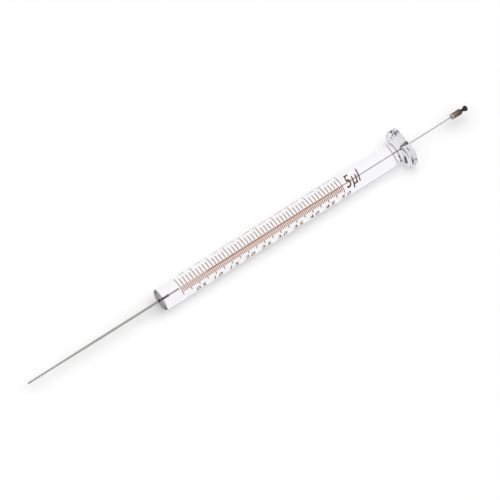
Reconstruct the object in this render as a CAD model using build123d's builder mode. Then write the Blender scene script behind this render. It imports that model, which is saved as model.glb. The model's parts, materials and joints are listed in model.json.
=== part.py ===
"""Microsyringe: a glass barrel with a cemented needle and a fine wire plunger.

Millimetres. The syringe lies on a level surface (z = 0) on the lower flat of its finger
flange and on the front of its barrel, with the needle towards -X. Stations along the
syringe are counted from the zero mark of its scale, positive towards the plunger's button.
"""

import os
from math import asin, cos, pi, radians, sin, tan

from build123d import *

# Scale and bore
full_volume = 5.0  # microlitres (cubic millimetres) at the last mark
bore_dia = 0.343
nose_to_zero = 6.29  # nose to the zero mark
scale_to_flange = 20.47  # last mark to the flange's front face

# Glass barrel
barrel_dia = 6.5
nose_rounding = 0.76  # of the front end's rim
flange_dia = 12.1
flange_thickness = 2.5
flat_standoff = 0.65  # how far each flat of the flange stands off the tube
flange_flare = 1.55  # radius between the tube and the flange
flange_rounding = 0.5
flat_setback = 0.2  # front edge of each flat, behind the flange's front face
flat_ramp_length = 1.0  # of the ramp that leads up to each flat out of the flare
flat_ramp_angle = 20
flat_bevel = 0.35  # along the back edge of each flat
funnel_depth = 1.8
funnel_mouth_dia = 2.0
funnel_rounding = 0.3

# Seat for the needle, drilled into the nose
cement_thickness = 0.06  # counterbore to needle
countersink_depth = 0.22
countersink_angle = 90
seat_clearance = 0.015  # all round the needle's reduced end
seat_cone = 0.35  # drill point between counterbore and seat
seat_start = 3.04  # drill point to the zero mark
seat_end = 0.05  # step down to the bore, to the zero mark

# Needle
needle_dia = 0.64
needle_fine_dia = 0.47
needle_lumen_dia = 0.13
needle_exposed = 42.7  # outside the nose
needle_fine_length = 7.2
needle_taper_length = 14.2
needle_bevel_angle = 25
needle_shoulder_gap = 0.10  # shoulder to the drill point of its seat

# Cement
cement_clearance = 0.010
cement_climb = 0.25  # of its fillet along the needle, outside the nose

# Plunger
plunger_drawn = 9.3  # tip of the wire behind the zero mark, at rest
wire_clearance = 0.010  # all round, in the bore and in the button
wire_chamfer = 0.03
button_gap = 15.88  # flange's back face to the button, at rest

# Button
button_dia = 1.75
button_length = 3.2  # of the cylinder
button_rounding = 0.12
mouth_dia = 0.60
mouth_depth = 0.8
wire_hole_depth = 2.8
neck_dia = 0.70
neck_cone = 0.65  # cylinder down to the neck
knob_cone = 1.10  # neck out to the knob's widest place
knob_dia = 1.78
knob_cap = 0.67  # widest place to the end of the knob
knob_rounding = 0.25

# Radii
bore_radius = bore_dia / 2
barrel_radius = barrel_dia / 2
flange_radius = flange_dia / 2
needle_radius = needle_dia / 2
needle_fine_radius = needle_fine_dia / 2
counterbore_radius = needle_radius + cement_thickness
countersink_slope = tan(radians(countersink_angle / 2))
countersink_radius = counterbore_radius + countersink_depth * countersink_slope
seat_radius = needle_fine_radius + seat_clearance
wire_radius = bore_radius - wire_clearance
flat_height = barrel_radius + flat_standoff
flare = min(flange_flare, flange_radius - flange_rounding - barrel_radius)

# Stations along the axis
last_mark = full_volume / (pi * bore_radius**2)
nose = -nose_to_zero
nose_base = nose + nose_rounding
countersink_end = nose + countersink_depth
drill_point = -seat_start - seat_cone
flange_front = last_mark + scale_to_flange
flange_back = flange_front + flange_thickness
flat_front = flange_front + flat_setback
needle_point = nose - needle_exposed
taper_start = needle_point + needle_fine_length
taper_end = taper_start + needle_taper_length
wire_tip = plunger_drawn
button_front = flange_back + button_gap
button_back = button_front + button_length
neck = button_back + neck_cone
knob_widest = neck + knob_cone
knob_end = knob_widest + knob_cap
wire_end = button_front + wire_hole_depth


def rest_tilt():
    """Nose-down tilt of the axis when the nose and the flange's flat both touch z = 0."""
    span = flat_front - nose_base
    tilt = 0.0
    for _ in range(20):
        nose_drop = (barrel_radius - nose_rounding) * cos(tilt) + nose_rounding
        tilt = asin((flat_height * cos(tilt) - nose_drop) / span)
    return tilt


tilt = rest_tilt()
axis_direction = Vector(cos(tilt), 0, sin(tilt))
middle = (needle_point + knob_end) / 2
axis_height = flat_height * cos(tilt) - (flat_front - middle) * sin(tilt)

# Section plane of the syringe: local x is the station, local y the radius
section = Plane(
    origin=Vector(0, 0, axis_height) - axis_direction * middle,
    x_dir=axis_direction,
    z_dir=(0, -1, 0),
)
syringe_axis = Axis(section.origin, section.x_dir)


def across(station):
    """Plane square to the syringe's axis at a station, facing the button."""
    return Plane(origin=section.from_local_coords((station, 0)), x_dir=(0, 1, 0), z_dir=axis_direction)


def dome(centre, height, radius):
    """Quarter of an ellipse, from its full radius to the axis at its height."""
    station, _ = centre
    quarter = 0.5523  # handle of a cubic curve that follows a quarter ellipse
    Bezier(
        (station, radius),
        (station + quarter * height, radius),
        (station + height, quarter * radius),
        (station + height, 0),
    )


os.makedirs("parts", exist_ok=True)

# Glass barrel: rounded nose, tube, flared finger flange with two flats, and the stepped bore
with BuildPart() as glass_barrel:
    with BuildSketch(section):
        with BuildLine():
            FilletPolyline(
                (nose, 0),
                (nose, barrel_radius),
                (flange_front, barrel_radius),
                (flange_front, flange_radius),
                (flange_back, flange_radius),
                (flange_back, 0),
                radius=(nose_rounding, flare, flange_rounding, flange_rounding),
            )
            Line((flange_back, 0), (nose, 0))
        make_face()
    revolve(axis=syringe_axis)

    # The flats are ground: a slab with ramps in front and bevelled back edges is what they leave
    ramp_foot = flat_front - flat_ramp_length
    foot_height = flat_height - flat_ramp_length * tan(radians(flat_ramp_angle))
    with BuildSketch(section.offset(-flange_dia)):
        with BuildLine():
            Polyline(
                (nose, -flat_height),
                (ramp_foot, -foot_height),
                (flat_front, -flat_height),
                (flange_back - flat_bevel, -flat_height),
                (flange_back, flat_bevel - flat_height),
                (flange_back, flat_height - flat_bevel),
                (flange_back - flat_bevel, flat_height),
                (flat_front, flat_height),
                (ramp_foot, foot_height),
                (nose, flat_height),
                close=True,
            )
        make_face()
    extrude(amount=2 * flange_dia, mode=Mode.INTERSECT)

    overrun = 1.0
    with BuildSketch(section):
        with BuildLine():
            Polyline(
                (nose - overrun, 0),
                (nose - overrun, countersink_radius + overrun * countersink_slope),
                (countersink_end, counterbore_radius),
                (drill_point, counterbore_radius),
                (-seat_start, seat_radius),
                (-seat_end, seat_radius),
                (-seat_end, bore_radius),
                (flange_back - funnel_depth, bore_radius),
                (flange_back, funnel_mouth_dia / 2),
                (flange_back + overrun, funnel_mouth_dia / 2),
                (flange_back + overrun, 0),
                close=True,
            )
        make_face()
    revolve(axis=syringe_axis, mode=Mode.SUBTRACT)
    back_face = glass_barrel.faces().sort_by(syringe_axis)[-1]
    fillet(back_face.inner_wires()[0].edges(), funnel_rounding)
glass_barrel.part.label = "glass_barrel"
export_step(glass_barrel.part, "parts/glass_barrel.step")

# Needle: one tube, drawn down to the fine gauge of its point and reduced in its seat
with BuildPart() as needle:
    shoulder = -seat_start - needle_shoulder_gap
    with BuildSketch(section):
        with BuildLine():
            Polyline(
                (needle_point, needle_lumen_dia / 2),
                (needle_point, needle_fine_radius),
                (taper_start, needle_fine_radius),
                (taper_end, needle_radius),
                (shoulder - seat_cone, needle_radius),
                (shoulder, needle_fine_radius),
                (-seat_end, needle_fine_radius),
                (-seat_end, needle_lumen_dia / 2),
                close=True,
            )
        make_face()
    revolve(axis=syringe_axis)

    bevel_length = needle_fine_dia / tan(radians(needle_bevel_angle))
    with BuildSketch(section):
        with BuildLine():
            Polyline(
                (needle_point, -needle_fine_radius),
                (needle_point + bevel_length, needle_fine_radius),
                (needle_point, needle_fine_radius),
                close=True,
            )
        make_face()
    extrude(amount=needle_fine_dia, both=True, mode=Mode.SUBTRACT)
needle.part.label = "needle"
export_step(needle.part, "parts/needle.step")

# Cement: fills the counterbore round the needle and climbs it outside the nose
with BuildPart() as needle_cement:
    cement_inside = needle_radius + cement_clearance
    cement_outside = counterbore_radius - cement_clearance
    cement_rim = cement_outside + countersink_depth * countersink_slope
    with BuildSketch(section):
        with BuildLine():
            Polyline(
                (nose, cement_rim),
                (countersink_end, cement_outside),
                (drill_point, cement_outside),
                (drill_point, cement_inside),
                (nose - cement_climb, cement_inside),
            )
            RadiusArc((nose - cement_climb, cement_inside), (nose, cement_rim), cement_climb * 2)
        make_face()
    revolve(axis=syringe_axis)
needle_cement.part.label = "needle_cement"
export_step(needle_cement.part, "parts/needle_cement.step")

# Plunger wire: from its tip in the bore to the bottom of the button's hole
with BuildPart() as plunger_wire:
    with BuildSketch(across(wire_tip)):
        Circle(wire_radius)
    extrude(amount=wire_end - wire_tip)
    chamfer(plunger_wire.edges().sort_by(syringe_axis)[0], wire_chamfer)
plunger_wire.part.label = "plunger_wire"
export_step(plunger_wire.part, "parts/plunger_wire.step")

# Button: turned cylinder, neck and knob, drilled from the front for the wire
with BuildPart() as plunger_button:
    with BuildSketch(section):
        with BuildLine():
            FilletPolyline(
                (button_front, 0),
                (button_front, button_dia / 2),
                (button_back, button_dia / 2),
                (neck, neck_dia / 2),
                (knob_widest, knob_dia / 2),
                radius=(button_rounding, button_rounding, button_rounding),
            )
            dome((knob_widest, 0), knob_cap, knob_dia / 2)
            Line((knob_end, 0), (button_front, 0))
        make_face()
    revolve(axis=syringe_axis)
    rims = plunger_button.edges().filter_by(GeomType.CIRCLE)
    fillet(rims.sort_by(syringe_axis)[-1], knob_rounding)

    with Locations(-across(button_front)):
        CounterBoreHole(wire_radius + wire_clearance, mouth_dia / 2, mouth_depth, wire_hole_depth)
plunger_button.part.label = "plunger_button"
export_step(plunger_button.part, "parts/plunger_button.step")
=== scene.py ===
"""Looks of the microsyringe: clear glass, fired scale, steel needle and wire, dark metal button.

Stations are millimetres along the syringe's axis from the zero mark of its scale, positive
towards the button. Turns are degrees round the axis from straight up, positive towards -Y.
"""

import json
from math import atan2, cos, degrees, pi, radians, sin, tan

import bmesh
import bpy
from mathutils import Matrix, Vector

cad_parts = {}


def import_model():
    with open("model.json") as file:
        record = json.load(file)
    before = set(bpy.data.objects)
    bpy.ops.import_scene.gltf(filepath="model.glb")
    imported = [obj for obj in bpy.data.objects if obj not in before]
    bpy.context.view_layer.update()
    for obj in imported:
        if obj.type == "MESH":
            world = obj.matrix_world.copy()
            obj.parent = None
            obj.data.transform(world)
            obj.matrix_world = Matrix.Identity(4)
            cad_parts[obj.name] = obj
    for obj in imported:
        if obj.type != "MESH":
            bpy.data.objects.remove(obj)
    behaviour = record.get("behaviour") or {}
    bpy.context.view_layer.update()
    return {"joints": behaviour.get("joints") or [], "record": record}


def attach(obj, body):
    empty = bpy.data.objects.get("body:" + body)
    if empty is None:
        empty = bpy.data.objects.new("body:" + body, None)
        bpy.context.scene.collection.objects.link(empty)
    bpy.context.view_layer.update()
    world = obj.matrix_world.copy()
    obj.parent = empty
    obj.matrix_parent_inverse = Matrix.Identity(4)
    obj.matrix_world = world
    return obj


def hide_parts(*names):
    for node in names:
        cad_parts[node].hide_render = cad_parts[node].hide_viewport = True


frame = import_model()
record = frame["record"]

MM = 0.001

# Syringe, in millimetres
full_volume = 5.0
bore_dia = 0.343
nose_to_zero = 6.29
scale_to_flange = 20.47
barrel_dia = 6.5
nose_rounding = 0.76
flange_dia = 12.1
flange_thickness = 2.5
flat_height = 3.9
flange_flare = 1.55
flange_rounding = 0.5
flat_setback = 0.2
flat_ramp_length = 1.0
flat_ramp_angle = 20.0
flat_bevel = 0.35
funnel_depth = 1.8
funnel_mouth_dia = 2.0
funnel_rounding = 0.3
counterbore_dia = 0.76
countersink_depth = 0.22
seat_dia = 0.50
seat_start = 3.04
seat_cone = 0.35
seat_end = 0.05
needle_dia = 0.64
needle_fine_dia = 0.47
needle_lumen_dia = 0.13
needle_exposed = 42.7
needle_fine_length = 7.2
needle_taper_length = 14.2
needle_bevel_angle = 25.0
needle_shoulder_gap = 0.10
cement_clearance = 0.010
cement_climb = 0.25
plunger_drawn = 9.3
wire_clearance = 0.010
wire_chamfer = 0.03
button_gap = 15.88
button_dia = 1.75
button_length = 3.2
button_rounding = 0.12
mouth_dia = 0.60
mouth_depth = 0.8
wire_hole_depth = 2.8
neck_dia = 0.70
neck_cone = 0.65
knob_cone = 1.10
knob_dia = 1.78
knob_cap = 0.67
knob_rounding = 0.25
knob_edge_rounding = 0.12

# Stations
last_mark = full_volume / (pi * (bore_dia / 2) ** 2)
nose = -nose_to_zero
nose_base = nose + nose_rounding
countersink_end = nose + countersink_depth
drill_point = -seat_start - seat_cone
flange_front = last_mark + scale_to_flange
flange_back = flange_front + flange_thickness
flat_front = flange_front + flat_setback
needle_point = nose - needle_exposed
taper_start = needle_point + needle_fine_length
taper_end = taper_start + needle_taper_length
button_front = flange_back + button_gap
button_back = button_front + button_length
neck = button_back + neck_cone
knob_widest = neck + knob_cone
knob_end = knob_widest + knob_cap
wire_end = button_front + wire_hole_depth

# The syringe's own frame: X along the axis, Z up, its origin at the zero mark
mounts = {m["name"]: m for m in record["mounts"]}
axis = Vector(frame["joints"][0]["axis"]).normalized()
tube_middle = Vector(mounts["barrel_tube"]["pos_m"]) / MM
flange_point = Vector(mounts["flange_back"]["pos_m"]) / MM
zero_mark = tube_middle + axis * ((flange_point - tube_middle).dot(axis) - flange_back)
up = Vector((0, 0, 1))
up = (up - axis * up.dot(axis)).normalized()
across = up.cross(axis)
to_frame = Matrix.Translation(zero_mark * MM) @ Matrix((axis, across, up)).transposed().to_4x4()
to_frame = to_frame @ Matrix.Scale(MM, 4)


# ---------------------------------------------------------------- meshes

SAME_POINT = 1e-6  # mm, between points of a section that count as one
ON_AXIS = 1e-9  # mm, the radius below which a point lies on the axis


def arc(centre, radii, start, end, steps):
    """Points of an elliptical arc in the section (station, radius), angles in degrees."""
    angles = [radians(start + (end - start) * i / steps) for i in range(steps + 1)]
    return [(centre[0] + radii[0] * cos(a), centre[1] + radii[1] * sin(a)) for a in angles]


def between(start, end, steps):
    """Points from start to end, both included."""
    return [
        (start[0] + (end[0] - start[0]) * i / steps, start[1] + (end[1] - start[1]) * i / steps)
        for i in range(steps + 1)
    ]


def without_doubles(profile, closed):
    """The profile without points that repeat the one before."""

    def same(one, two):
        return abs(one[0] - two[0]) + abs(one[1] - two[1]) <= SAME_POINT

    kept = [profile[0]]
    for point in profile[1:]:
        if not same(point, kept[-1]):
            kept.append(point)
    if closed and same(kept[0], kept[-1]):
        kept.pop()
    return kept


def lathe(profile, segments, closed):
    """A bmesh turned from a section. An open profile starts and ends on the axis."""
    profile = without_doubles(profile, closed)
    bm = bmesh.new()
    turns = [2 * pi * i / segments for i in range(segments)]
    rings = []
    for station, radius in profile:
        if radius < ON_AXIS:
            rings.append([bm.verts.new((station, 0, 0))] * segments)
            continue
        rings.append([bm.verts.new((station, radius * sin(t), radius * cos(t))) for t in turns])
    pairs = list(zip(rings, rings[1:]))
    if closed:
        pairs.append((rings[-1], rings[0]))
    for ring, following in pairs:
        for i in range(segments):
            j = (i + 1) % segments
            corners = [ring[i], ring[j], following[j], following[i]]
            unique = list(dict.fromkeys(corners))
            if len(unique) > 2:
                bm.faces.new(unique)
    bmesh.ops.recalc_face_normals(bm, faces=bm.faces)
    return bm


def linked(name, data):
    """A new object for the data, in the scene."""
    obj = bpy.data.objects.new(name, data)
    bpy.context.scene.collection.objects.link(obj)
    return obj


def piece(name, bm, material, body, replaced=None, sharp=35.0):
    """Finishes a bmesh in syringe millimetres as a named piece of the frame."""
    bmesh.ops.transform(bm, matrix=to_frame, verts=bm.verts)
    mesh = bpy.data.meshes.new(name)
    bm.to_mesh(mesh)
    bm.free()
    mesh.shade_smooth()
    mesh.set_sharp_from_angle(angle=radians(sharp))
    mesh.materials.append(material)
    obj = linked(name, mesh)
    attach(obj, body)
    if replaced:
        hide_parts(replaced)


# ---------------------------------------------------------------- materials

NOISE_DETAIL = 4.0
NOISE_LOW, NOISE_HIGH = 0.3, 0.7  # the middle part of the noise, which a ramp spreads
RELIEF_DEPTH = 0.00001  # metres, of the fine lines and grain
ROUGHNESS_SCALE = 0.6  # of the roughness's noise to the colour's
GLASS_IOR = 1.474  # borosilicate


class Nodes:
    """A small helper that adds and links shader nodes."""

    def __init__(self, owner):
        owner.use_nodes = True
        self.tree = owner.node_tree
        self.tree.nodes.clear()

    def add(self, kind, **values):
        node = self.tree.nodes.new("ShaderNode" + kind)
        for key, value in values.items():
            setattr(node, key, value)
        return node

    def link(self, source, target):
        self.tree.links.new(source, target)


def material(name):
    made = bpy.data.materials.new(name)
    return made, Nodes(made)


def any_of(nodes, *kinds):
    """1 for the kinds of ray named, 0 for others."""
    path = nodes.add("LightPath")
    result = path.outputs[kinds[0]]
    for kind in kinds[1:]:
        larger = nodes.add("Math", operation="MAXIMUM")
        nodes.link(result, larger.inputs[0])
        nodes.link(path.outputs[kind], larger.inputs[1])
        result = larger.outputs["Value"]
    return result


def product(nodes, first, second):
    node = nodes.add("Math", operation="MULTIPLY")
    nodes.link(first, node.inputs[0])
    nodes.link(second, node.inputs[1])
    return node.outputs["Value"]


def mix_shaders(nodes, first, second):
    """Mixes two shaders. The share of the second is the first input of the node returned."""
    mix = nodes.add("MixShader")
    nodes.link(first, mix.inputs[1])
    nodes.link(second, mix.inputs[2])
    return mix


def show(nodes, shader, output="OutputMaterial"):
    """Makes the shader what the material or the world shows."""
    nodes.link(shader, nodes.add(output).inputs["Surface"])


def noise_ramp(nodes, scale, stretch, low, high):
    """Noise in object coordinates, stretched along the axis, between two greys or colours."""
    coordinates = nodes.add("TexCoord")
    mapping = nodes.add("Mapping")
    mapping.inputs["Scale"].default_value = (scale / stretch, scale, scale)
    nodes.link(coordinates.outputs["Object"], mapping.inputs["Vector"])
    noise = nodes.add("TexNoise")
    noise.inputs["Scale"].default_value = 1.0
    noise.inputs["Detail"].default_value = NOISE_DETAIL
    nodes.link(mapping.outputs["Vector"], noise.inputs["Vector"])
    ramp = nodes.add("ValToRGB")
    stops = ramp.color_ramp.elements
    for stop, position, colour in zip(stops, (NOISE_LOW, NOISE_HIGH), (low, high)):
        stop.position = position
        stop.color = (*colour, 1)
    nodes.link(noise.outputs["Fac"], ramp.inputs["Fac"])
    return noise, ramp.outputs["Color"]


def relief(nodes, noise, strength, shader):
    """Fine lines or grain on the shader, from the noise that also varies its colour."""
    bump = nodes.add("Bump")
    bump.inputs["Strength"].default_value = strength
    bump.inputs["Distance"].default_value = RELIEF_DEPTH
    nodes.link(noise.outputs["Fac"], bump.inputs["Height"])
    nodes.link(bump.outputs["Normal"], shader.inputs["Normal"])


def syringe_coordinates(nodes):
    """Station and radius, in millimetres, of the point being shaded."""
    coordinates = nodes.add("TexCoord")
    from_zero = nodes.add("VectorMath", operation="SUBTRACT")
    from_zero.inputs[1].default_value = zero_mark * MM
    nodes.link(coordinates.outputs["Object"], from_zero.inputs[0])
    results = []
    for steps in (("DOT_PRODUCT",), ("CROSS_PRODUCT", "LENGTH")):
        source = from_zero.outputs["Vector"]
        for step in steps:
            node = nodes.add("VectorMath", operation=step)
            if step != "LENGTH":
                node.inputs[1].default_value = axis
            nodes.link(source, node.inputs[0])
            source = node.outputs["Vector" if step == "CROSS_PRODUCT" else "Value"]
        scaled = nodes.add("Math", operation="DIVIDE")
        scaled.inputs[1].default_value = MM
        nodes.link(source, scaled.inputs[0])
        results.append(scaled.outputs["Value"])
    return results


def ramp_between(nodes, value, none, full):
    """A share that rises from 0 where the value is none to 1 where it is full."""
    share = nodes.add("MapRange")
    share.inputs["From Min"].default_value = none
    share.inputs["From Max"].default_value = full
    nodes.link(value, share.inputs["Value"])
    return share.outputs["Result"]


def painted_toward(nodes, colour, share, painted_tone):
    """The colour, which becomes a painted tone of light or shade where the share is 1."""
    mixed = nodes.add("Mix", data_type="RGBA")
    nodes.link(share, mixed.inputs["Factor"])
    nodes.link(colour, mixed.inputs["A"])
    mixed.inputs["B"].default_value = (*painted_tone, 1)
    return mixed.outputs["Result"]


def metal(name, low, high, roughness, stretch, scale, bump, painted_reflections=()):
    """Drawn or turned metal with fine lines, and painted reflections that set in along the axis.

    Each painted reflection has the station where it starts, the station where it is full, and its
    colour.
    """
    made, nodes = material(name)
    shader = nodes.add("BsdfPrincipled")
    shader.inputs["Metallic"].default_value = 1.0
    noise, colour = noise_ramp(nodes, scale, stretch, low, high)
    if painted_reflections:
        station, _ = syringe_coordinates(nodes)
    for none, full, shade in painted_reflections:
        colour = painted_toward(nodes, colour, ramp_between(nodes, station, none, full), shade)
    nodes.link(colour, shader.inputs["Base Color"])
    smooth, rough = ([level] * 3 for level in roughness)
    _, rough_colour = noise_ramp(nodes, scale * ROUGHNESS_SCALE, stretch, smooth, rough)
    nodes.link(rough_colour, shader.inputs["Roughness"])
    relief(nodes, noise, bump, shader)
    show(nodes, shader.outputs["BSDF"])
    return made


def plain_material(name, low, high, roughness, scale, bump, clear=0.0):
    """Ink or cement: a matt colour that varies a little, with a faint grain.

    Clear is the share of light that passes straight through, as in the thin cement.
    """
    made, nodes = material(name)
    shader = nodes.add("BsdfPrincipled")
    shader.inputs["Roughness"].default_value = roughness
    shader.inputs["Specular IOR Level"].default_value = 0.2
    noise, colour = noise_ramp(nodes, scale, 1, low, high)
    nodes.link(colour, shader.inputs["Base Color"])
    relief(nodes, noise, bump, shader)
    passing = nodes.add("BsdfTransparent")
    mix = mix_shaders(nodes, shader.outputs["BSDF"], passing.outputs["BSDF"])
    mix.inputs[0].default_value = clear
    show(nodes, mix.outputs["Shader"])
    return made


# Colours of the glass. The clear ones are its own colour; all others are painted shade that
# stands in for dark refraction in those places, laid on by station and radius.
clear_glass = (0.968, 0.964, 0.984), (0.982, 0.978, 0.994)
flange_painted_shade = (0.74, 0.73, 0.77)
joint_painted_shade = (0.28, 0.25, 0.31)
nose_painted_shade = (0.17, 0.138, 0.175)
funnel_painted_shade = (0.24, 0.215, 0.23)
shadow_tint = (0.56, 0.555, 0.57)
nose_fade = 0.8 * nose_rounding, 0.6 * nose_rounding  # behind the nose
flange_fade = 0.3  # in front of and behind the flange's front face
joint_fade = 0.35, 0.15  # to each side of where the flare leaves the tube
funnel_fade = 0.1  # in front of the funnel's end
funnel_reach = 1.35, 1.25  # radius


def glass_material():
    """Clear glass, with painted shade at the nose, in the funnel, in the flange and at its joint.
    """
    made, nodes = material("barrel_glass")
    shader = nodes.add("BsdfPrincipled")
    shader.inputs["Transmission Weight"].default_value = 1.0
    shader.inputs["IOR"].default_value = GLASS_IOR
    shader.inputs["Roughness"].default_value = 0.0
    _, colour = noise_ramp(nodes, 60, 6, *clear_glass)
    station, radius = syringe_coordinates(nodes)

    def share_by_station(none, full):
        return ramp_between(nodes, station, none, full)

    joint = flange_front - flange_flare
    funnel_end = flange_back - funnel_depth
    in_flange = share_by_station(flange_front - flange_fade, flange_front + flange_fade)
    at_joint = product(
        nodes,
        share_by_station(joint - joint_fade[0], joint - joint_fade[1]),
        share_by_station(joint + joint_fade[0], joint + joint_fade[1]),
    )
    at_nose = share_by_station(nose + nose_fade[0], nose + nose_fade[1])
    in_funnel = product(
        nodes,
        share_by_station(funnel_end - funnel_fade, funnel_end),
        ramp_between(nodes, radius, *funnel_reach),
    )
    # painted shade over the clear colour, standing in for dark refraction
    for share, painted_tone in (
        (in_flange, flange_painted_shade),
        (at_joint, joint_painted_shade),
        (at_nose, nose_painted_shade),
        (in_funnel, funnel_painted_shade),
    ):
        colour = painted_toward(nodes, colour, share, painted_tone)
    nodes.link(colour, shader.inputs["Base Color"])
    # light on its way to what the glass shades passes straight through, a little dimmed
    clear = nodes.add("BsdfTransparent")
    clear.inputs["Color"].default_value = (*shadow_tint, 1)
    mix = mix_shaders(nodes, shader.outputs["BSDF"], clear.outputs["BSDF"])
    nodes.link(any_of(nodes, "Is Shadow Ray"), mix.inputs[0])
    show(nodes, mix.outputs["Shader"])
    return made


def fired_ink(name, low, high):
    return plain_material(name, low, high, roughness=0.6, scale=12000, bump=0.3)


glass = glass_material()
needle_metal = metal(
    "needle_steel", (0.255, 0.246, 0.23), (0.36, 0.348, 0.328),
    roughness=(0.25, 0.4), stretch=40, scale=9000, bump=0.3,
)
wire_metal = metal(
    "wire_steel", (0.30, 0.29, 0.28), (0.42, 0.41, 0.395),
    roughness=(0.25, 0.4), stretch=60, scale=12000, bump=0.3,
)
# painted reflections: the button is darker from its middle to the knob, and lighter at its front
button_metal = metal(
    "button_metal", (0.085, 0.060, 0.047), (0.24, 0.185, 0.15),
    roughness=(0.02, 0.05), stretch=0.05, scale=2500, bump=0.05,
    painted_reflections=(
        (button_front + 0.4 * button_length, button_back + 0.2, (0.045, 0.036, 0.031)),
        (button_front + 0.8, button_front + 0.4, (0.34, 0.30, 0.28)),
    ),
)
cement = plain_material(
    "cement", (0.02, 0.018, 0.018), (0.06, 0.05, 0.05),
    roughness=0.5, scale=9000, bump=0.5, clear=0.4,
)
ink = fired_ink("fired_ink", (0.32, 0.078, 0.002), (0.40, 0.115, 0.004))
brown_ink = fired_ink("fired_brown_ink", (0.22, 0.046, 0.006), (0.29, 0.070, 0.012))
dark_ink = fired_ink("fired_dark_ink", (0.11, 0.024, 0.014), (0.16, 0.040, 0.024))


# ---------------------------------------------------------------- glass barrel

def barrel_profile():
    """The section of the glass: its outside from nose to back, then its inside back again."""
    barrel_radius = barrel_dia / 2
    flange_radius = flange_dia / 2
    bore_radius = bore_dia / 2
    seat_radius = seat_dia / 2
    counterbore_radius = counterbore_dia / 2
    mouth_radius = funnel_mouth_dia / 2
    nose_centre = (nose_base, barrel_radius - nose_rounding)
    flare_centre = (flange_front - flange_flare, barrel_radius + flange_flare)
    rim_front = (flange_front + flange_rounding, flange_radius - flange_rounding)
    rim_back = (flange_back - flange_rounding, flange_radius - flange_rounding)
    rim_radii = (flange_rounding, flange_rounding)
    nose_rim = (nose, counterbore_radius + countersink_depth)
    outside = between(nose_rim, (nose, nose_centre[1]), steps=6)
    outside += arc(nose_centre, (nose_rounding, nose_rounding), 180, 90, steps=20)
    outside += between((nose_base, barrel_radius), (flare_centre[0], barrel_radius), steps=24)
    outside += arc(flare_centre, (flange_flare, flange_flare), -90, 0, steps=20)
    outside += arc(rim_front, rim_radii, 180, 90, steps=10)
    outside += arc(rim_back, rim_radii, 90, 0, steps=10)
    # rounding between the back face and the funnel's cone, tangent to both
    cone = atan2(mouth_radius - bore_radius, funnel_depth)
    tangent = funnel_rounding / cos(cone) - funnel_rounding * sin(cone) / cos(cone)
    lip_centre = (flange_back - funnel_rounding, mouth_radius + tangent)
    lip_turn = degrees(pi / 2 - cone)
    inside = arc(lip_centre, (funnel_rounding, funnel_rounding), 0, -lip_turn, steps=8)
    funnel_end = (flange_back - funnel_depth, bore_radius)
    inside += between(funnel_end, (-seat_end, bore_radius), steps=24)
    inside += [
        (-seat_end, seat_radius),
        (-seat_start, seat_radius),
        (drill_point, counterbore_radius),
        (countersink_end, counterbore_radius),
    ]
    return outside + inside


def flats_slab():
    """The slab that the ground flats leave, with ramps in front and bevelled back edges."""
    foot = flat_height - flat_ramp_length * tan(radians(flat_ramp_angle))
    overrun = 1
    outline = [
        (nose - overrun, flat_height),
        (flat_front - flat_ramp_length, foot),
        (flat_front, flat_height),
        (flange_back - flat_bevel, flat_height),
        (flange_back + overrun, flat_height - flat_bevel - overrun),
    ]
    outline += [(station, -height) for station, height in reversed(outline)]
    bm = bmesh.new()
    near, far = (
        [bm.verts.new((station, y, height)) for station, height in outline]
        for y in (-flange_dia, flange_dia)
    )
    bm.faces.new(near)
    bm.faces.new(far)
    for i in range(len(outline)):
        j = (i + 1) % len(outline)
        bm.faces.new((near[i], near[j], far[j], far[i]))
    bmesh.ops.recalc_face_normals(bm, faces=bm.faces)
    return bm


def common(first, second):
    """The volume that two bmeshes share, as a bmesh."""
    objects = []
    for bm in (first, second):
        mesh = bpy.data.meshes.new("common")
        bm.to_mesh(mesh)
        bm.free()
        objects.append(linked("common", mesh))
    modifier = objects[0].modifiers.new("common", "BOOLEAN")
    modifier.operation, modifier.solver, modifier.object = "INTERSECT", "EXACT", objects[1]
    bpy.context.view_layer.update()
    evaluated = objects[0].evaluated_get(bpy.context.evaluated_depsgraph_get())
    result = bmesh.new()
    result.from_mesh(evaluated.to_mesh())
    evaluated.to_mesh_clear()
    for obj in objects:
        mesh = obj.data
        bpy.data.objects.remove(obj)
        bpy.data.meshes.remove(mesh)
    return result


def glass_barrel():
    bm = common(lathe(barrel_profile(), segments=224, closed=True), flats_slab())
    piece("glass_barrel_clear", bm, glass, "barrel", "glass_barrel", sharp=12.0)


# ---------------------------------------------------------------- needle and cement

def steel_needle():
    fine = needle_fine_dia / 2
    full = needle_dia / 2
    lumen = needle_lumen_dia / 2
    shoulder = -seat_start - needle_shoulder_gap
    outline = [(needle_point, lumen)]
    outline += between((needle_point, fine), (taper_start, fine), steps=4)
    outline += between((taper_start, fine), (taper_end, full), steps=12)
    outline += between((taper_end, full), (shoulder - seat_cone, full), steps=16)
    outline += [(shoulder, fine), (-seat_end, fine), (-seat_end, lumen)]
    bm = lathe(outline, segments=48, closed=True)
    # the bevel: both rings at the tip are sheared, so it rises from the tip's lowest point
    past_tip = needle_point + 1e-4
    for vert in bm.verts:
        if vert.co.x < past_tip:
            vert.co.x += (vert.co.z + fine) / tan(radians(needle_bevel_angle))
    piece("needle_tube", bm, needle_metal, "barrel", "needle")


def needle_cement():
    """A sleeve in the counterbore, with a hollow fillet that climbs the needle."""
    inside = needle_dia / 2 + cement_clearance
    outside = counterbore_dia / 2 - cement_clearance
    rim = outside + countersink_depth
    fillet_steps = 8
    hollow = 2.2
    outline = [
        (nose, rim),
        (countersink_end, outside),
        (drill_point, outside),
        (drill_point, inside),
        (nose - cement_climb, inside),
    ]
    for i in range(1, fillet_steps):
        share = i / fillet_steps
        radius = inside + (rim - inside) * share**hollow
        outline.append((nose - cement_climb * (1 - share), radius))
    bm = lathe(outline, segments=48, closed=True)
    piece("cement_sleeve", bm, cement, "barrel", "needle_cement")


# ---------------------------------------------------------------- plunger

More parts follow.
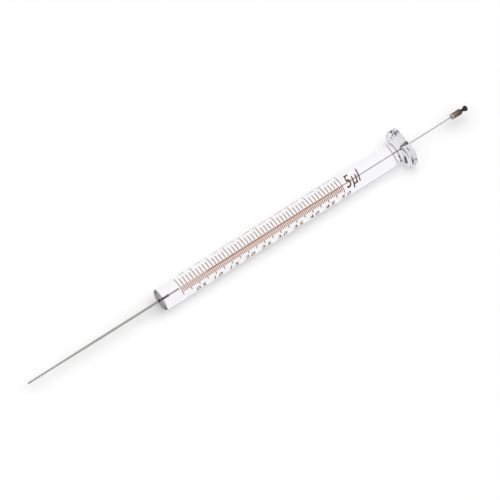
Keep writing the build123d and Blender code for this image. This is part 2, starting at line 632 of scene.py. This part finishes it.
def steel_wire():
    radius = bore_dia / 2 - wire_clearance
    outline = [(plunger_drawn, 0), (plunger_drawn, radius - wire_chamfer)]
    outline += between((plunger_drawn + wire_chamfer, radius), (wire_end, radius), steps=24)
    outline += [(wire_end, 0)]
    bm = lathe(outline, segments=40, closed=False)
    piece("wire_rod", bm, wire_metal, "plunger", "plunger_wire")


def rounded(corner, before, after, radius, steps=8):
    """Arc of the given radius in the corner between two straight stretches of a section."""
    c, a, b = (Vector(p) for p in (corner, before, after))
    u, v = (a - c).normalized(), (b - c).normalized()
    half = u.angle(v) / 2
    reach = radius / (sin(half) / cos(half))
    centre = c + (u + v).normalized() * (radius / sin(half))
    first, last = c + u * reach - centre, c + v * reach - centre
    sweep = first.angle(last)
    points = []
    for i in range(steps + 1):
        to_first, to_last = sin(sweep * (1 - i / steps)), sin(sweep * i / steps)
        points.append(tuple(centre + (first * to_first + last * to_last) / sin(sweep)))
    return points


def turned_button():
    body, throat, knob = button_dia / 2, neck_dia / 2, knob_dia / 2
    wire_hole = bore_dia / 2
    hole = [
        (wire_end, 0),
        (wire_end, wire_hole),
        (button_front + mouth_depth, wire_hole),
        (button_front + mouth_depth, mouth_dia / 2),
    ]
    corners = [
        (button_front, mouth_dia / 2),
        (button_front, body),
        (button_back, body),
        (neck, throat),
        (knob_widest, knob),
    ]
    outline = [corners[0]]
    for before, corner, after in zip(corners, corners[1:], corners[2:]):
        outline += rounded(corner, before, after, button_rounding)
    # the edge between the knob's cone and its cap, from a little way down each
    throat_point, edge = Vector(corners[-2]), Vector(corners[-1])
    cone_end = edge - (edge - throat_point).normalized() * knob_rounding
    cap = arc((knob_widest, 0), (knob_cap, knob), 90, 0, steps=24)
    cap_start = 5
    outline += rounded(corners[-1], tuple(cone_end), cap[cap_start], knob_edge_rounding)
    outline += cap[cap_start + 1:-1]
    outline += [(knob_end, 0)]
    bm = lathe(hole + outline, segments=96, closed=False)
    piece("turned_button", bm, button_metal, "plunger", "plunger_button")


# ---------------------------------------------------------------- scale

ink_inside = barrel_dia / 2 - 0.003
ink_outside = barrel_dia / 2 + 0.012
upper_width = 0.22
lower_width = 0.27
line_step = 3  # degrees, of a line's facets at least
print_turn = 23.5  # middle of the print, round the axis

# Turns of the lines' ends, from the middle of the print
upper_long, upper_short, upper_end = -61, -45, -6
lower_start, lower_short, lower_long = -5, 24.6, 38
whole_end = 39

row_height = 0.12  # of the strips that text is cut into, so that it follows the tube
capital_height = 0.69  # of the font's size


def wrapped(bm, station, turn, radius):
    angle = radians(turn)
    return bm.verts.new((station, -radius * sin(angle), radius * cos(angle)))


def ring_line(bm, station, start, end, width):
    """A line of ink round part of the tube, between two turns from the middle of the print."""
    start, end = print_turn + start, print_turn + end
    steps = max(2, int(abs(end - start) / line_step))
    turns = [start + (end - start) * i / steps for i in range(steps + 1)]
    low, high = station - width / 2, station + width / 2
    sections = [
        [
            wrapped(bm, low, t, ink_inside),
            wrapped(bm, high, t, ink_inside),
            wrapped(bm, high, t, ink_outside),
            wrapped(bm, low, t, ink_outside),
        ]
        for t in turns
    ]
    for one, two in zip(sections, sections[1:]):
        for i in range(4):
            j = (i + 1) % 4
            bm.faces.new((one[i], one[j], two[j], two[i]))
    bm.faces.new(sections[0])
    bm.faces.new(sections[-1])


def print_piece(name, bm, colour):
    """Finishes lines or text as a piece of print on the glass."""
    bmesh.ops.recalc_face_normals(bm, faces=bm.faces)
    piece(name, bm, colour, "barrel")


def scale_lines():
    """Fiftieths of the scale on the upper side of the bore, hundredths on the lower side."""
    upper, lower = bmesh.new(), bmesh.new()
    step = last_mark / 100
    for count in range(101):
        station = count * step
        if count in (0, 100):
            ring_line(upper, station, upper_long, whole_end, upper_width)
            continue
        if count % 2 == 0:
            start = upper_long if count % 10 == 0 else upper_short
            ring_line(upper, station, start, upper_end, upper_width)
        end = lower_long if count % 5 == 0 else lower_short
        ring_line(lower, station, lower_start, end, lower_width)
    print_piece("upper_lines", upper, brown_ink)
    print_piece("lower_lines", lower, ink)


def text_mesh(words, height, slant, weight):
    """Flat text with a little thickness, its height in millimetres, centred on its width."""
    curve = bpy.data.curves.new("words", "FONT")
    curve.body = words
    curve.align_x = "CENTER"
    curve.size = height / capital_height
    curve.shear = slant
    curve.offset = weight
    curve.resolution_u = 3
    curve.extrude = 1.0
    obj = linked("words", curve)
    bpy.context.view_layer.update()
    evaluated = obj.evaluated_get(bpy.context.evaluated_depsgraph_get())
    mesh = bpy.data.meshes.new_from_object(evaluated)
    bm = bmesh.new()
    bm.from_mesh(mesh)
    bpy.data.objects.remove(obj)
    bpy.data.curves.remove(curve)
    bpy.data.meshes.remove(mesh)
    return bm


def add_text(target, words, station, turn, height, slant=0.0, weight=0.0, stretch=1.0):
    """Wraps text round the tube, its middle at a station and a turn, its top towards +Y.

    The turn is from the middle of the print.
    """
    bm = text_mesh(words, height, slant, weight)
    radius = barrel_dia / 2
    rows = int(height / row_height) + 2
    for row in range(-1, rows + 1):
        everything = bm.verts[:] + bm.edges[:] + bm.faces[:]
        cut = (0, row * row_height, 0)
        bmesh.ops.bisect_plane(bm, geom=everything, plane_co=cut, plane_no=(0, 1, 0))
    for vert in bm.verts:
        angle = radians(print_turn + turn) - (vert.co.y - height / 2) / radius
        depth = ink_outside if vert.co.z > 0 else ink_inside
        vert.co = (station + vert.co.x * stretch, -depth * sin(angle), depth * cos(angle))
    bmesh.ops.remove_doubles(bm, verts=bm.verts, dist=1e-5)
    mesh = bpy.data.meshes.new("wrapped_words")
    bm.to_mesh(mesh)
    bm.free()
    target.from_mesh(mesh)
    bpy.data.meshes.remove(mesh)


def scale_numbers():
    """Numbers along both sides of the scale and the full volume beyond it."""
    small, bold = bmesh.new(), bmesh.new()
    for count in range(1, 21):
        words = f"{count * 0.25:.2f}".lstrip("0").rstrip("0").rstrip(".")
        add_text(small, words, count * last_mark / 20, turn=-79, height=0.95, weight=0.02)
    for count in range(1, 11):
        words, station = f"{count * 0.5:.1f}", count * last_mark / 10
        add_text(bold, words, station, turn=58, height=1.4, slant=0.2, weight=0.035, stretch=1.3)
    beyond = last_mark + 3.4
    add_text(bold, "5µl", beyond, turn=-7, height=3.7, slant=0.25, weight=0.04, stretch=0.72)
    print_piece("scale_numbers", small, brown_ink)
    print_piece("volume_numbers", bold, dark_ink)


# ---------------------------------------------------------------- floor, light, camera

floor_half_width = 1.5  # metres
floor_drop = 0.00002  # metres, so that the floor and what lies on it don't share a plane
floor_white = 0.85  # share of plain white that metal and glass see in the floor
world_level = 0.1  # on what is neither seen directly nor in metal and glass

# Name, strength, angle across in degrees, direction towards it, and whether metal shows it
lamps = (
    ("overhead", 2.2, 105, (0, 0, 1), False),
    ("softbox", 0.55, 62, (0.25, 0, 0.97), True),
    ("window", 0.45, 16, (0.88, -0.16, 0.44), True),
)

# The photo's camera, fitted to the marks of the scale
azimuth, elevation = radians(-35.002), radians(63.313)
aim = Vector((-1.933, -1.484, 3.295)) * MM
distance = 763.42 * MM


def floor():
    """A plain white surface, a hair under what stands on it. It keeps the shadow."""
    bm = bmesh.new()
    bmesh.ops.create_grid(bm, x_segments=1, y_segments=1, size=floor_half_width)
    mesh = bpy.data.meshes.new("floor")
    bm.to_mesh(mesh)
    bm.free()
    obj = linked("floor", mesh)
    obj.location.z = -floor_drop
    made, nodes = material("white_floor")
    shader = nodes.add("BsdfDiffuse")
    _, colour = noise_ramp(nodes, 30, 1, [0.965] * 3, [0.975] * 3)
    nodes.link(colour, shader.inputs["Color"])
    white = nodes.add("Emission")
    share = nodes.add("Math", operation="MULTIPLY")
    share.inputs[1].default_value = floor_white
    nodes.link(any_of(nodes, "Is Glossy Ray", "Is Transmission Ray"), share.inputs[0])
    mix = mix_shaders(nodes, shader.outputs["BSDF"], white.outputs["Emission"])
    nodes.link(share.outputs["Value"], mix.inputs[0])
    show(nodes, mix.outputs["Shader"])
    mesh.materials.append(made)


def lights():
    """Broad soft sources, none of them seen through the glass."""
    for name, energy, angle, direction, mirrored in lamps:
        lamp = bpy.data.lights.new(name, "SUN")
        lamp.energy = energy
        lamp.angle = radians(angle)
        obj = linked(name, lamp)
        obj.rotation_euler = Vector(direction).to_track_quat("Z", "Y").to_euler()
        obj.visible_glossy = mirrored
        obj.visible_transmission = False


def world():
    """White to the camera and in metal and glass, with a little of it on everything else."""
    made = bpy.data.worlds.new("studio")
    nodes = Nodes(made)
    soft, white = nodes.add("Background"), nodes.add("Background")
    for background, level in ((soft, world_level), (white, 1)):
        background.inputs["Color"].default_value = (level, level, level, 1)
    mix = mix_shaders(nodes, soft.outputs["Background"], white.outputs["Background"])
    seen = any_of(nodes, "Is Camera Ray", "Is Glossy Ray", "Is Transmission Ray")
    nodes.link(seen, mix.inputs[0])
    show(nodes, mix.outputs["Shader"], "OutputWorld")
    bpy.context.scene.world = made


def camera():
    """Looks down on the syringe from the needle's side, level with the horizon."""
    back = Vector((sin(azimuth) * cos(elevation), -cos(azimuth) * cos(elevation), sin(elevation)))
    data = bpy.data.cameras.new("camera")
    data.sensor_width = 36
    data.lens = 199.92
    data.clip_start = 0.01
    obj = linked("camera", data)
    obj.location = aim + back * distance
    obj.rotation_euler = (-back).to_track_quat("-Z", "Y").to_euler()
    bpy.context.scene.camera = obj


glass_barrel()
steel_needle()
needle_cement()
steel_wire()
turned_button()
scale_lines()
scale_numbers()
floor()
lights()
world()
camera()
bpy.context.scene.view_settings.view_transform = "Standard"
